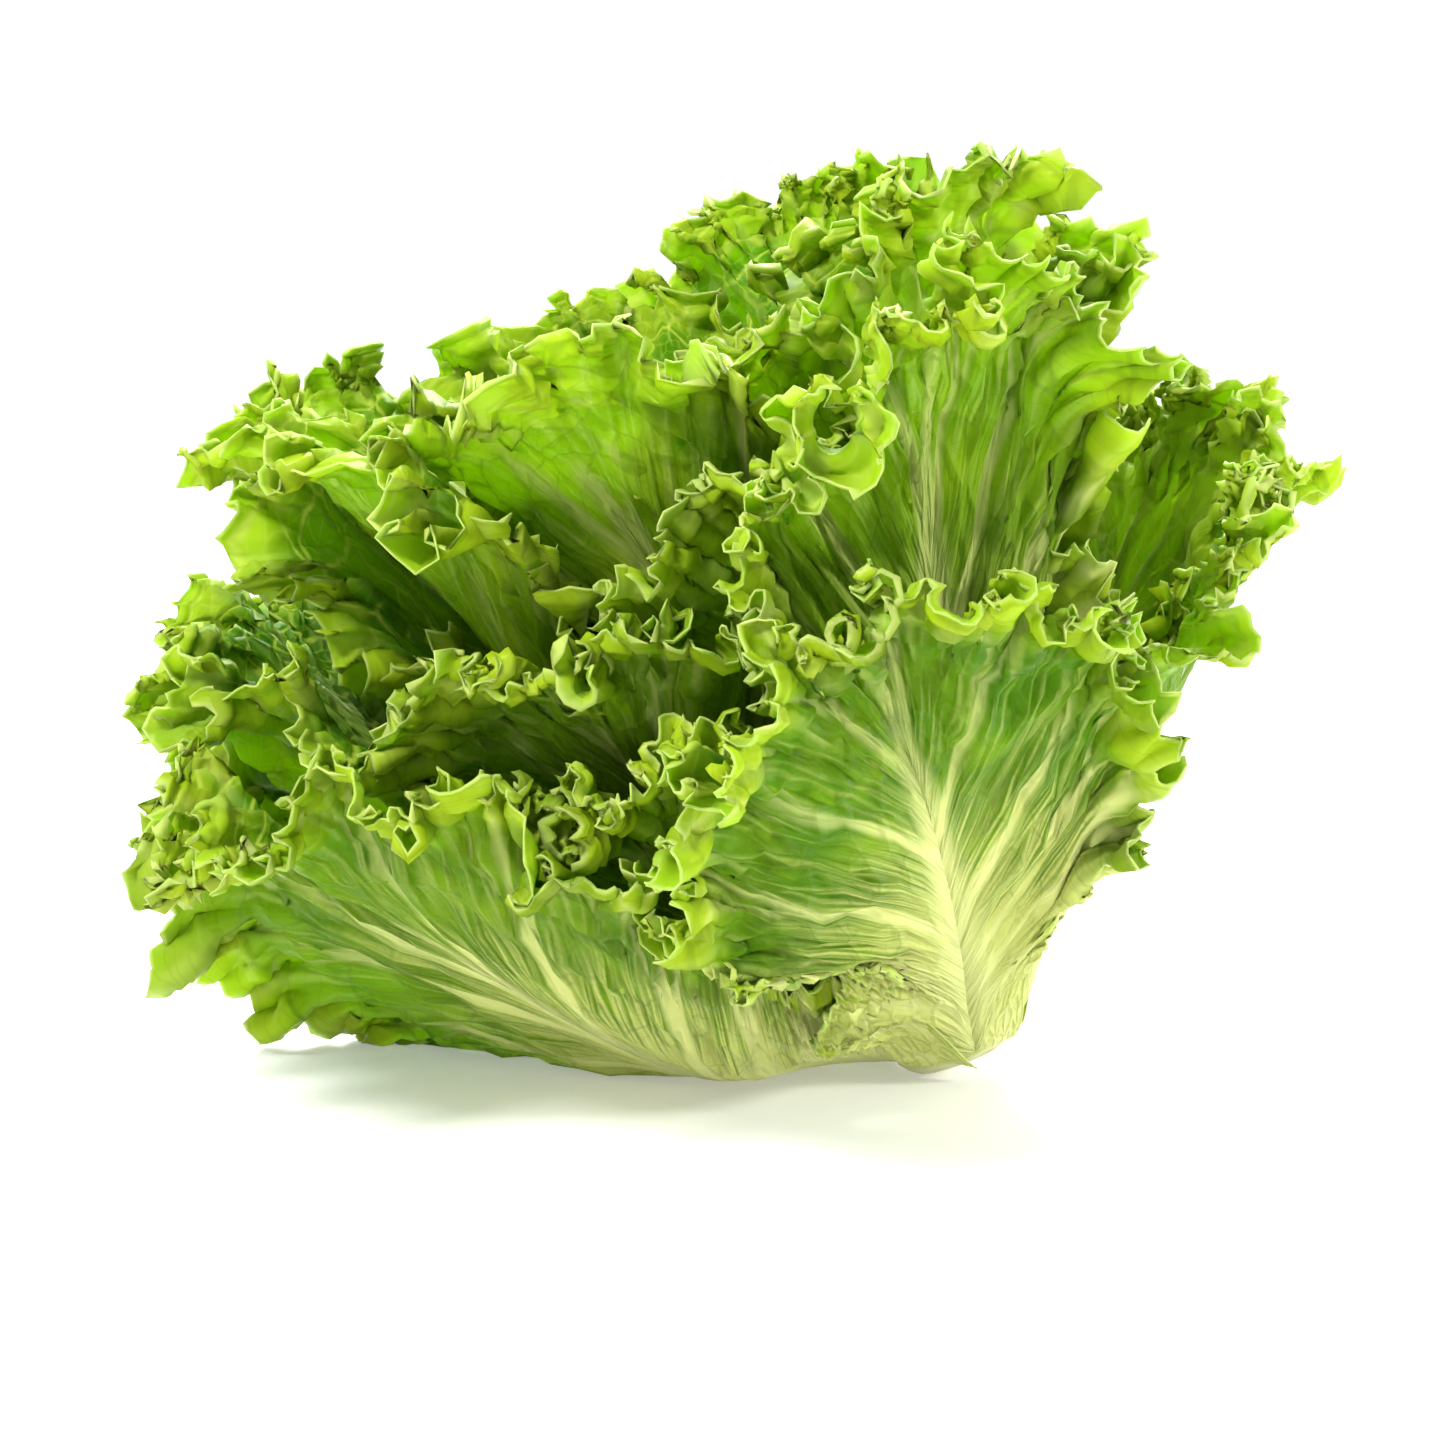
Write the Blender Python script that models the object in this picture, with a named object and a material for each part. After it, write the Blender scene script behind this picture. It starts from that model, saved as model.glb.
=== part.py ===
"""A head of green leaf lettuce, lying on its side as picked.

Frilled leaves stand in a spiral on a short cut stem. Each leaf is one thin waved blade with a thick
rib, and is its own solid. The leaves are nested like bowls: each one opens a little less than the one
outside it, so none crosses another. Everything is in metres, +Z up, and the head rests on the surface
at Z = 0.
"""

import math
from dataclasses import dataclass

import bmesh
import bpy
import numpy as np

# The head: its spiral, seen from above clockwise from the right, and how it lies.
LEAF_COUNT = 24
GOLDEN_ANGLE = math.radians(137.5)
FIRST_AZIMUTH = math.radians(65)
LEAN_LEFT = math.radians(22)
LEAN_FORWARD = math.radians(4)
DEPTH_SHARE = 0.76
SAG = 0.028
SAG_REACH = 0.054
SAG_BELOW = 0.150
PRESS_SOFTNESS = 0.004
SEED = 11

# The stem, from its cut face up to its growing tip, and the leaves' feet up its side.
STEM_RADII = (0.0145, 0.0168, 0.0170, 0.0135, 0.0080, 0.0030)
STEM_HEIGHTS = (0.0000, 0.0025, 0.0200, 0.0360, 0.0520, 0.0600)
STEM_SIDES = 20
STEM_TRIM = 0.0007
FIRST_LEAF_HEIGHT = 0.0080
LAST_LEAF_HEIGHT = 0.0560
GAP = 0.0014

# How far a leaf opens from the head's axis, in degrees, at distances along it: the outermost leaf and
# the innermost.
OPENING_AT = (0.000, 0.022, 0.060, 0.130, 0.180, 0.215, 0.260)
OPENING_OUTER = (60, 57, 52, 46, 45, 52, 64)
OPENING_INNER = (30, 18, 9, 5, 7, 12, 20)
OWN_OPENING_BY = 0.060
MIDLINE_REACH = 0.260
MIDLINE_STEPS = 105
WIDEST_WRAP = 1.15
NEXT_TO_IT = 2
ROOM_FOR_FULL_WAVES = 0.0155
MOST_BEND = 10
BEND_STEP = 2.4

# Leaf sizes at shares of the way from the outermost leaf to the innermost.
RANK_AT = (0.0, 0.3, 0.6, 0.8, 1.0)
LENGTHS = (0.214, 0.220, 0.210, 0.184, 0.142)
HALF_WIDTHS = (0.084, 0.084, 0.074, 0.060, 0.044)

# Half of the flat outline, from the foot to the tip: half width, height, and where the vein to there
# leaves the midrib.
OUTLINE_WIDTH = (0.21, 0.25, 0.44, 0.84, 1.00, 0.88, 0.50, 0.00)
OUTLINE_HEIGHT = (0.00, 0.13, 0.28, 0.47, 0.68, 0.87, 0.97, 1.00)
VEIN_START = (0.00, 0.08, 0.17, 0.29, 0.45, 0.62, 0.76, 0.84)
OUTLINE_STEPS = 161

# The frill: waves round the edge, their heights, and how far in from the edge they reach. Each wave's
# width and height is its own, between the two shares.
OUTER_WAVES = 16
INNER_WAVES = 12
FEWER_WAVES_FROM = 0.55
WAVE_HEIGHT = 0.0080
WAVE_DEPTH = 0.045
WAVE_WIDTH_SHARES = (0.70, 1.30)
WAVE_HEIGHT_SHARES = (0.65, 1.25)
SWELL_HEIGHT = 0.0050
SWELL_DEPTH = 0.085
WAVES_PER_SWELL = 3.1
SWELL_STEP = 1.7
CALMER_INSIDE = 0.25
FLARE = 0.004
FLARE_DEPTH = 0.030
SMOOTH_BELOW = 0.20
FRILLED_ABOVE = 0.45

# The blade's thickness, and the rib on its outer face.
BLADE = 0.0008
RIB_AT_FOOT = 0.0040
RIB_AT_TIP = 0.0006
RIB_THINNEST_AT = 0.87
RIB_OUT_TO = 0.70
RIB_LOSS_INSIDE = 0.45

# Rings from the midrib to the edge: share of the way out, and how many quarter waves each segment takes.
RINGS = ((0.00, 4), (0.45, 4), (0.74, 2), (0.90, 1), (1.00, 1))

# What single leaves do beside the rule: turn in degrees, length, width, sideways bend in degrees,
# wider opening in degrees, and how flat the blade is to its left and right, seen from outside (0
# follows the cup, 1 is flat).
OWN_WAYS = {
    1: (14, 1.00, 0.77, 4, -2, 0.1, 0.1),
    2: (0, 0.95, 1.00, 0, 0, 0.2, 0.2),
    3: (1, 0.96, 1.24, 4, -3, 0.9, 0.1),
    4: (4, 0.73, 0.82, 0, 0, 0.0, 0.1),
    5: (-22, 1.00, 1.10, 0, 0, 0.0, 0.0),
    6: (16, 0.70, 1.00, 6, 0, 0.0, 0.0),
    7: (12, 0.76, 1.00, 0, 5, 0.0, 0.1),
    8: (6, 0.96, 1.09, 0, -0.4, 0.0, 0.0),
    9: (24, 1.08, 0.61, -4, 0.3, 0.0, 0.0),
    11: (-12, 0.76, 0.90, 6, 0, 0.0, 0.0),
    12: (-16, 0.86, 0.90, 0, -3, 0.0, 0.0),
    13: (0, 1.04, 1.06, 0, 0, 0.0, 0.0),
    14: (0, 0.76, 0.90, 0, 0, 0.0, 0.0),
    16: (4, 1.06, 1.00, 0, 1.5, 0.0, 0.0),
    18: (0, 1.00, 1.00, -8, 0.7, 0.0, 0.0),
    20: (0, 1.00, 0.94, -7, 0, 0.0, 0.0),
}

STEM_COLOUR = (0.72, 0.74, 0.45, 1.0)
STEM_ROUGHNESS = 0.5
LEAF_COLOUR = (0.28, 0.52, 0.05, 1.0)
LEAF_ROUGHNESS = 0.4


@dataclass
class Leaf:
    """One leaf's place and size. Rank is 0 for the outermost and 1 for the innermost."""

    number: int
    rank: float
    azimuth: float
    length: float
    half_width: float
    bend: float
    opening: float
    flat_left: float
    flat_right: float
    waves: int


def smoothly(value, low, high):
    """0 below low, 1 above high, and a smooth step between."""
    share = np.clip((value - low) / (high - low), 0, 1)
    return share * share * (3 - 2 * share)


def knots(seed, count, shares):
    """Seeded values between two shares, one for each wave of a leaf's edge and one more."""
    return np.random.default_rng(seed).uniform(*shares, count + 1)


def along_knots(values, step):
    """Values read between whole steps, with no corner."""
    whole = np.clip(np.floor(step).astype(int), 0, len(values) - 2)
    return values[whole] + (values[whole + 1] - values[whole]) * smoothly(step - whole, 0, 1)


def leaves():
    """Every leaf of the head, from the outermost in."""
    found = []
    for number in range(1, LEAF_COUNT + 1):
        rank = (number - 1) / (LEAF_COUNT - 1)
        rule = (0, 1, 1, MOST_BEND * math.sin(BEND_STEP * number), 0, 0, 0)
        turn, longer, wider, bend, opening, left, right = OWN_WAYS.get(number, rule)
        found.append(
            Leaf(
                number=number,
                rank=rank,
                azimuth=FIRST_AZIMUTH - GOLDEN_ANGLE * (number - 1) + math.radians(turn),
                length=float(np.interp(rank, RANK_AT, LENGTHS)) * longer,
                half_width=float(np.interp(rank, RANK_AT, HALF_WIDTHS)) * wider,
                bend=math.radians(bend),
                opening=opening,
                flat_left=left,
                flat_right=right,
                waves=OUTER_WAVES if rank < FEWER_WAVES_FROM else INNER_WAVES,
            )
        )
    return found


def stem_radius(height):
    """The stem's radius at a height above its cut face."""
    return float(np.interp(height, STEM_HEIGHTS, STEM_RADII))


def midline(rank, own_opening):
    """A leaf's midline in the plane through the axis: distance along it, distance out, height, opening."""
    along = np.linspace(0, MIDLINE_REACH, MIDLINE_STEPS)
    outer, inner = np.array(OPENING_OUTER), np.array(OPENING_INNER)
    opening = np.interp(along, OPENING_AT, outer + (inner - outer) * rank)
    opening = np.radians(opening + own_opening * smoothly(along, 0, OWN_OPENING_BY))
    foot = FIRST_LEAF_HEIGHT + (LAST_LEAF_HEIGHT - FIRST_LEAF_HEIGHT) * rank
    step = along[1]

    def summed(rate):
        return np.concatenate([[0], np.cumsum((rate[1:] + rate[:-1]) / 2) * step])

    out = stem_radius(foot) + GAP + summed(np.sin(opening))
    return along, out, foot + summed(np.cos(opening)), opening


def room(leaf, distance):
    """How far the cup of the leaf two further in stays from this leaf's, at distances along it."""
    along, out, up, opening = midline(leaf.rank, 0)
    _, inner_out, inner_up, _ = midline(leaf.rank + NEXT_TO_IT / (LEAF_COUNT - 1), 0)
    apart = (out - inner_out) * np.cos(opening) - (up - inner_up) * np.sin(opening)
    return np.interp(distance, along, apart)


def outline(leaf):
    """The flat leaf's whole edge, foot to tip to foot: distance round it, across, along, vein start."""
    step = np.linspace(0, len(OUTLINE_WIDTH) - 1, OUTLINE_STEPS)
    half = [along_spline(row, step) for row in (OUTLINE_WIDTH, OUTLINE_HEIGHT, VEIN_START)]
    across = np.concatenate([-half[0], half[0][-2::-1]]) * leaf.half_width
    along = np.concatenate([half[1], half[1][-2::-1]]) * leaf.length
    start = np.concatenate([half[2], half[2][-2::-1]]) * leaf.length
    around = np.concatenate([[0], np.cumsum(np.hypot(np.diff(across), np.diff(along)))])
    return around, across, along, start


def along_spline(row, step):
    """A smooth curve through a row of values, read at steps along it."""
    row = np.concatenate([[2 * row[0] - row[1]], row, [2 * row[-1] - row[-2]]])
    whole = np.clip(np.floor(step).astype(int), 0, len(row) - 4)
    t = step - whole
    a, b, c, d = (row[whole + k] for k in range(4))
    return b + t * (c - a + t * (2 * a - 5 * b + 4 * c - d + t * (3 * b - a - 3 * c + d))) / 2


def edge_place(leaf, wave):
    """Where waves lie on the flat leaf's edge: across, along, and where the vein to there starts."""
    around, across, along, start = outline(leaf)
    widths = knots(SEED + 31 * leaf.number, leaf.waves, WAVE_WIDTH_SHARES)
    share = np.concatenate([[0], np.cumsum(widths[: leaf.waves])])
    share = (share + share[-1] - share[::-1]) / (2 * share[-1])
    place = np.interp(wave, np.arange(leaf.waves + 1), share) * around[-1]
    return [np.interp(place, around, row) for row in (across, along, start)]


def frill(leaf, wave, inward):
    """How far the waved blade leaves its cup, by wave round the edge and distance in from the edge."""
    heights = along_knots(knots(SEED + 57 * leaf.number, leaf.waves, WAVE_HEIGHT_SHARES), wave)
    size = leaf.length / LENGTHS[0] * (1 - CALMER_INSIDE * leaf.rank)
    fading = np.clip(1 - inward / WAVE_DEPTH, 0, 1) ** 1.5
    lift = WAVE_HEIGHT * size * heights * np.cos(math.tau * wave) * fading
    swell = np.sin(math.tau * wave / WAVES_PER_SWELL + SWELL_STEP * leaf.number)
    lift += SWELL_HEIGHT * size * swell * np.clip(1 - inward / SWELL_DEPTH, 0, 1)
    return lift + FLARE * np.clip(1 - inward / FLARE_DEPTH, 0, 1) ** 2


def blade_point(leaf, wave, out):
    """Points on the leaf's middle surface, in the upright head's own frame.

    wave counts waves round the edge, and out goes from 0 at the midrib to 1 at the edge.
    """
    edge_x, edge_y, start = edge_place(leaf, wave)
    x, y = edge_x * out, start + (edge_y - start) * out
    inward = (1 - out) * np.hypot(edge_x, edge_y - start)
    frilled = smoothly(edge_y / leaf.length, SMOOTH_BELOW, FRILLED_ABOVE)
    frilled *= np.clip(room(leaf, y) / ROOM_FOR_FULL_WAVES, 0, 1)
    return place_on_head(leaf, x, y, frill(leaf, wave, inward) * frilled)


def place_on_head(leaf, across, along, lift):
    """Wraps flat leaf coordinates round the head's axis. Lift is towards the leaf's outer face."""
    distance, out, up, opening = midline(leaf.rank, leaf.opening)
    radius, height, angle = (np.interp(along, distance, row) for row in (out, up, opening))
    turn = WIDEST_WRAP * np.tanh(across / (WIDEST_WRAP * radius))
    azimuth = leaf.azimuth + turn + leaf.bend * (along / leaf.length) ** 2
    lift = lift + np.where(across > 0, leaf.flat_left, leaf.flat_right) * across**2 / (2 * radius)
    radius = radius + lift * np.cos(angle)
    height = height - lift * np.sin(angle)
    return np.stack([radius * np.cos(azimuth), -radius * np.sin(azimuth), height], axis=-1)


def turned(first, second, angle):
    """Two coordinates turned towards the first one's lower side as the second rises."""
    cos, sin = math.cos(angle), math.sin(angle)
    return first * cos - second * sin, first * sin + second * cos


def lay_down(points):
    """Flattens the upright head a little from front to back, and turns it to lie on its stem's rim.

    What is left of the stem and low sags under the head's weight.
    """
    x, y, z = points.T
    x, z = turned(x, z, LEAN_LEFT)
    y, z = turned(y * DEPTH_SHARE, z, LEAN_FORWARD)
    z = z + STEM_RADII[0] * math.sin(LEAN_LEFT) - STEM_TRIM
    z = z - SAG * smoothly(-x - STEM_RADII[0], 0, SAG_REACH) * (1 - smoothly(z, 0, SAG_BELOW))
    return np.stack([x, y, z], axis=-1)


def press(points):
    """Bends what would reach below the surface up onto it, softly."""
    height = np.logaddexp(0, points[:, 2] / PRESS_SOFTNESS) * PRESS_SOFTNESS + BLADE / 2
    return np.column_stack([points[:, :2], height])


def ring_counts(leaf):
    """How many segments each ring has round the edge."""
    return [4 * leaf.waves // quarters for _, quarters in RINGS]


def blade_mesh(leaf):
    """The middle surface: points, their shares of the way out and along, triangles, and the border."""
    counts = ring_counts(leaf)
    points, shares, rings = [], [], []
    for (out, _), count in zip(RINGS, counts):
        wave = np.linspace(0, leaf.waves, count + 1)
        if out == 0:
            half = wave[: count // 2 + 1]
            first = len(points)
            points += list(blade_point(leaf, half, np.zeros(len(half))))
            shares += [(0.0, w) for w in half / half[-1]]
            rings.append([first + min(k, count - k) for k in range(count + 1)])
            continue
        first = len(points)
        points += list(blade_point(leaf, wave, np.full(len(wave), out)))
        shares += [(out, min(w, leaf.waves - w) * 2 / leaf.waves) for w in wave]
        rings.append(list(range(first, first + count + 1)))
    triangles = []
    for inner, outer in zip(rings, rings[1:]):
        triangles += strip(inner, outer)
    border = rings[-1][::-1] + [ring[0] for ring in rings[-2::-1]] + [ring[-1] for ring in rings[1:-1]]
    return np.array(points), np.array(shares), np.array(triangles), border


def strip(inner, outer):
    """Triangles between two rings, where the outer has as many segments as the inner or twice as many."""
    found = []
    if len(inner) == len(outer):
        for k in range(len(inner) - 1):
            a, b, c, d = inner[k], inner[k + 1], outer[k + 1], outer[k]
            found += [(a, b, d), (b, c, d)] if k % 2 else [(a, b, c), (a, c, d)]
        return found
    for k in range(len(inner) - 1):
        a, b, c, d, e = inner[k], inner[k + 1], outer[2 * k + 2], outer[2 * k + 1], outer[2 * k]
        found += [(a, d, e), (a, b, d), (b, c, d)]
    return found


def corner_normals(points, triangles):
    """A unit normal for each point of a surface."""
    a, b, c = (points[triangles[:, k]] for k in range(3))
    faces = np.cross(b - a, c - a)
    normals = np.zeros_like(points)
    for k in range(3):
        np.add.at(normals, triangles[:, k], faces)
    return normals / np.linalg.norm(normals, axis=1, keepdims=True)


def thicknesses(leaf, shares):
    """The blade's thickness at each point: thin at the edge, thick at the foot of the midrib."""
    out, along = shares.T
    rib = RIB_AT_FOOT + (RIB_AT_TIP - RIB_AT_FOOT) * np.minimum(along / RIB_THINNEST_AT, 1)
    rib = rib * (1 - RIB_LOSS_INSIDE * leaf.rank)
    return BLADE + rib * np.clip(1 - out / RIB_OUT_TO, 0, 1) ** 1.5


def make_object(name, points, faces, material):
    """A mesh object made of points and faces."""
    mesh = bpy.data.meshes.new(name)
    mesh.from_pydata([tuple(p) for p in points], [], [tuple(map(int, f)) for f in faces])
    mesh.validate()
    mesh.materials.append(material)
    obj = bpy.data.objects.new(name, mesh)
    bpy.context.scene.collection.objects.link(obj)
    return obj


def leaf_solid(leaf):
    """The leaf as a closed solid: its inner face, its outer face, split alike, and the band between them."""
    points, shares, triangles, border = blade_mesh(leaf)
    points = press(lay_down(points))
    outward = -corner_normals(points, triangles)
    thick = thicknesses(leaf, shares)[:, None]
    inner = points - outward * BLADE / 2
    outer = points + outward * (thick - BLADE / 2)
    outer[:, 2] = np.maximum(outer[:, 2], 0)
    count = len(points)
    faces = [tuple(t) for t in triangles] + [tuple(t[::-1] + count) for t in triangles]
    for a, b in zip(border, border[1:] + border[:1]):
        faces += [(b, a, a + count), (b, a + count, b + count)]
    return np.concatenate([inner, outer]), faces


def stem_solid():
    """The stem as rings of points, turned round the axis, with a cut face below and a blunt tip above."""
    turn = np.arange(STEM_SIDES) * math.tau / STEM_SIDES
    rings = list(zip(STEM_RADII, STEM_HEIGHTS))
    points = [(r * math.cos(a), r * math.sin(a), h) for r, h in rings for a in turn]
    faces = [tuple(range(STEM_SIDES))[::-1]]
    for ring in range(len(rings) - 1):
        low, high = ring * STEM_SIDES, (ring + 1) * STEM_SIDES
        for k in range(STEM_SIDES):
            n = (k + 1) % STEM_SIDES
            faces.append((low + k, low + n, high + n, high + k))
    top = (len(rings) - 1) * STEM_SIDES
    faces.append(tuple(range(top, top + STEM_SIDES)))
    return lay_down(np.array(points)), faces


def trim_at_surface(obj):
    """Cuts off what lies below the surface, so that a small flat face rests on it."""
    mesh = bmesh.new()
    mesh.from_mesh(obj.data)
    everything = mesh.verts[:] + mesh.edges[:] + mesh.faces[:]
    cut = bmesh.ops.bisect_plane(
        mesh, geom=everything, plane_co=(0, 0, 0), plane_no=(0, 0, -1), clear_outer=True
    )
    edges = [part for part in cut["geom_cut"] if isinstance(part, bmesh.types.BMEdge)]
    bmesh.ops.contextual_create(mesh, geom=edges)
    bmesh.ops.recalc_face_normals(mesh, faces=mesh.faces[:])
    mesh.to_mesh(obj.data)
    mesh.free()


def plain_finish(name, colour, roughness):
    """A material of one colour."""
    made = bpy.data.materials.new(name)
    made.use_nodes = True
    shader = made.node_tree.nodes["Principled BSDF"]
    shader.inputs["Base Color"].default_value = colour
    shader.inputs["Roughness"].default_value = roughness
    shader.inputs["Metallic"].default_value = 0.0
    return made


def main():
    """Clears the scene and builds the head, centred over its own base and resting at Z = 0."""
    for obj in list(bpy.data.objects):
        bpy.data.objects.remove(obj)
    stem_finish = plain_finish("stem", STEM_COLOUR, STEM_ROUGHNESS)
    leaf_finish = plain_finish("leaf", LEAF_COLOUR, LEAF_ROUGHNESS)
    solids = {"stem": (*stem_solid(), stem_finish)}
    for leaf in leaves():
        solids[f"leaf_{leaf.number:02d}"] = (*leaf_solid(leaf), leaf_finish)
    everything = np.concatenate([points for points, _, _ in solids.values()])
    low, high = everything.min(axis=0), everything.max(axis=0)
    middle = np.array([(low[0] + high[0]) / 2, (low[1] + high[1]) / 2, 0])
    for name, (points, faces, finish) in solids.items():
        make_object(name, points - middle, faces, finish)
    trim_at_surface(bpy.data.objects["stem"])


main()
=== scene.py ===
"""A head of green leaf lettuce lying on its side, dressed over its plain solids.

Every leaf is grown by the same rule as its solid, on a mesh fine enough for the small frills, the
toothed edge, the ribs and the puckered blade. Sizes are in metres, +Z up, and the head rests at Z = 0.
"""

import logging
import math
from collections.abc import Callable, Iterator
from contextlib import contextmanager
from dataclasses import dataclass, field
from enum import Enum
from typing import Any

import bmesh
import bpy
import numpy as np
from bpy.types import Material, Mesh, Object
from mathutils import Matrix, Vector

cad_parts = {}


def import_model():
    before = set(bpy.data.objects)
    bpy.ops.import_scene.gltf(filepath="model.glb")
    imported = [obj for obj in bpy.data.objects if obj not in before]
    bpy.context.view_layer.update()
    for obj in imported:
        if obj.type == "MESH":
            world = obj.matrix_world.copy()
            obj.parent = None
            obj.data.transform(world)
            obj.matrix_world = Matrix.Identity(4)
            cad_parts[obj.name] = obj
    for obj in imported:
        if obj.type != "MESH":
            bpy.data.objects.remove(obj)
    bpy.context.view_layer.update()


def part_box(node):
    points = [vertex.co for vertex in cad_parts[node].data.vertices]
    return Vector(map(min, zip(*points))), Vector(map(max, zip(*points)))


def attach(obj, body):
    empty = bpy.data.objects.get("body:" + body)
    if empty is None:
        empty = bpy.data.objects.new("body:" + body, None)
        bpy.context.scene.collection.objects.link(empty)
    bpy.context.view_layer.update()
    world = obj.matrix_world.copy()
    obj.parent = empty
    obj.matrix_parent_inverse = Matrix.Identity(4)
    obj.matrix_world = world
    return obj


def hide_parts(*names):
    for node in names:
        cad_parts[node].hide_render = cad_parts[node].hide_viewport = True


BODY = "root"
POINT_VALUES = ("rib", "pale", "inward", "tone")
Pair = tuple[float, float]
Place = tuple[float, float, float]
Row = tuple[float, ...]
Array = np.ndarray
Colour = tuple[float, float, float, float]
log = logging.getLogger("lettuce")


class Face(Enum):
    """The two faces of a leaf, and which way the blade's pillows stand on each."""

    INNER = -1
    OUTER = 1


class Detail(Enum):
    """How many segments a leaf's mesh has round its edge, before the rows near the edge are split."""

    FRONT = 345
    SHOWN = 231
    INSIDE = 141
    HEART = 71


def smoothly(value: Any, low: float, high: float) -> Any:
    """0 below low, 1 above high, and a smooth step between."""
    share = np.clip((value - low) / (high - low), 0, 1)
    return share * share * (3 - 2 * share)


def between(first: Any, second: Any, share: Any) -> Any:
    """First at share 0, second at share 1."""
    return first + (second - first) * share


def wander(seed: int, step: Array) -> Array:
    """Smooth seeded noise along a line.

    Args:
        seed: Picks the noise.
        step: Where to read it. The noise has about one bump for every two units.

    Returns:
        Values from -1 to 1.
    """
    values = np.random.default_rng(seed).uniform(-1, 1, 1024)
    whole = np.floor(step).astype(int)
    share = smoothly(step - whole, 0, 1)
    return values[whole % 1024] * (1 - share) + values[(whole + 1) % 1024] * share


def ripples(seed: int, x: Array, y: Array) -> Array:
    """Smooth seeded noise over a plane.

    Args:
        seed: Picks the noise.
        x: First coordinate, with about one bump for every two units.
        y: Second coordinate.

    Returns:
        Values from -1 to 1.
    """
    values = np.random.default_rng(seed).uniform(-1, 1, (64, 64))
    i, j = np.floor(x).astype(int), np.floor(y).astype(int)
    u, v = smoothly(x - i, 0, 1), smoothly(y - j, 0, 1)
    low = values[i % 64, j % 64] * (1 - u) + values[(i + 1) % 64, j % 64] * u
    high = values[i % 64, (j + 1) % 64] * (1 - u) + values[(i + 1) % 64, (j + 1) % 64] * u
    return low * (1 - v) + high * v


def along_spline(row: Array, step: Array) -> Array:
    """A smooth curve through a row of values, read at steps along it.

    Args:
        row: The values.
        step: Where to read the curve, in steps from one value to the next.

    Returns:
        The curve's values there.
    """
    row = np.concatenate([[2 * row[0] - row[1]], row, [2 * row[-1] - row[-2]]])
    whole = np.clip(np.floor(step).astype(int), 0, len(row) - 4)
    t = step - whole
    a, b, c, d = (row[whole + k] for k in range(4))
    return b + t * (c - a + t * (2 * a - 5 * b + 4 * c - d + t * (3 * b - a - 3 * c + d))) / 2


def turned(first: Array, second: Array, angle: float) -> tuple[Array, Array]:
    """Two coordinates turned towards the first one's lower side as the second rises."""
    cos, sin = math.cos(angle), math.sin(angle)
    return first * cos - second * sin, first * sin + second * cos


def faded(share: Array) -> Array:
    """1 where a share is 0 or less, falling evenly to 0 where it is 1 or more."""
    return np.clip(1 - share, 0, 1)


def unit(rows: Array) -> Array:
    """Each row made one long."""
    return rows / (np.linalg.norm(rows, axis=1) + 1e-9)[:, None]


def places_of(mesh: Mesh) -> Array:
    """The places of a mesh's points, one a row."""
    places = np.empty(len(mesh.vertices) * 3)
    mesh.vertices.foreach_get("co", places)
    return places.reshape(-1, 3)


def put(mesh: Mesh, places: Array) -> None:
    """Moves a mesh's points to new places."""
    mesh.vertices.foreach_set("co", places.ravel())
    mesh.update()


@contextmanager
def editing() -> Iterator[None]:
    """Edit mode with faces to select, for the length of a block.

    Yields:
        Once, in edit mode.
    """
    bpy.ops.object.mode_set(mode="EDIT")
    bpy.context.tool_settings.mesh_select_mode = (False, False, True)
    yield
    bpy.ops.object.mode_set(mode="OBJECT")


def choose_faces(obj: Object, chosen: Callable[[bmesh.types.BMFace], bool]) -> None:
    """Selects some faces of the mesh that is being edited.

    Args:
        obj: The object in edit mode.
        chosen: Says of a face whether to select it.
    """
    mesh = bmesh.from_edit_mesh(obj.data)
    for face in mesh.faces:
        face.select_set(chosen(face))
    bmesh.update_edit_mesh(obj.data)


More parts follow.
